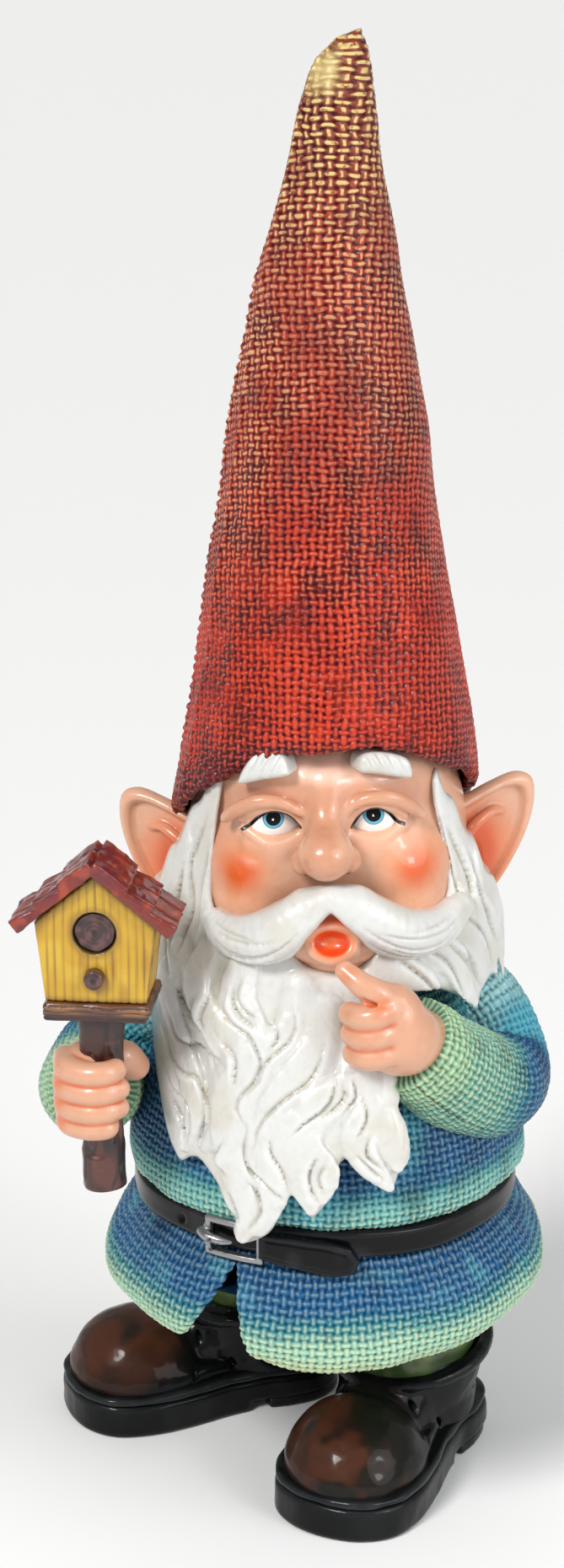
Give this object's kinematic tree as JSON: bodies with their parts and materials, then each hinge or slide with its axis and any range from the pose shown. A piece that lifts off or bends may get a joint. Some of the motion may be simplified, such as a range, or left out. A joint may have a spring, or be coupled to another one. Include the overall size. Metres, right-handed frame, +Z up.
{
  "type": "garden gnome",
  "caption": "Standing garden gnome in a tall pointed hat, with a long beard, a belted coat and a birdhouse on a post in one fist.",
  "frame": {"origin": "on the ground, under the middle of the figure's bounding box", "axes": "+Z up along the figure to the tip of the hat, -Y the way the face looks, +X the figure's own left"},
  "size_m": [0.1422, 0.1372, 0.4],
  "materials": {
    "hat": "red paint brushed with cream on a sacking texture, satin varnish",
    "skin": "peach paint with orange blush, gloss varnish",
    "lips": "orange-red paint, gloss varnish",
    "eyes": "white paint with a painted blue iris and black pupil, gloss varnish",
    "hair": "warm white paint over carved locks, gloss varnish",
    "coat": "blue to pale green paint on a woven texture, satin varnish",
    "belt": "black paint, gloss varnish",
    "buckle": "silver metallic paint on cast resin",
    "trousers": "moss green paint, satin varnish",
    "boots": "black paint with a red-brown wash on the toes, gloss varnish",
    "birdhouse_walls": "yellow paint with a brown wash in the plank grooves",
    "birdhouse_roof": "red-brown paint",
    "birdhouse_wood": "brown paint on carved wood grain",
    "bark": "dark brown paint on carved bark"
  },
  "bodies": {
    "root": {"hat": "hat", "head": "skin", "lips": "lips", "left_eye": "eyes", "left_eyebrow": "hair", "left_ear": "skin", "left_moustache": "hair", "right_eye": "eyes", "right_eyebrow": "hair", "right_ear": "skin", "right_moustache": "hair", "beard": "hair", "back_hair": "hair", "coat_body": "coat", "coat_skirt": "coat", "left_sleeve": "coat", "right_sleeve": "coat", "right_hand": "skin", "left_hand": "skin", "belt": "belt", "belt_tail": "belt", "buckle_frame": "buckle", "buckle_prong": "buckle", "birdhouse_post": "bark", "birdhouse_floor": "birdhouse_wood", "birdhouse_walls": "birdhouse_walls", "birdhouse_doorway": "birdhouse_wood", "birdhouse_perch": "birdhouse_wood", "birdhouse_roof_left": "birdhouse_roof", "birdhouse_roof_right": "birdhouse_roof", "left_boot_sole": "boots", "left_boot_heel": "boots", "left_boot_welt": "boots", "left_boot_upper": "boots", "left_trouser_leg": "trousers", "right_boot_sole": "boots", "right_boot_heel": "boots", "right_boot_welt": "boots", "right_boot_upper": "boots", "right_trouser_leg": "trousers"}
  },
  "joints": []
}
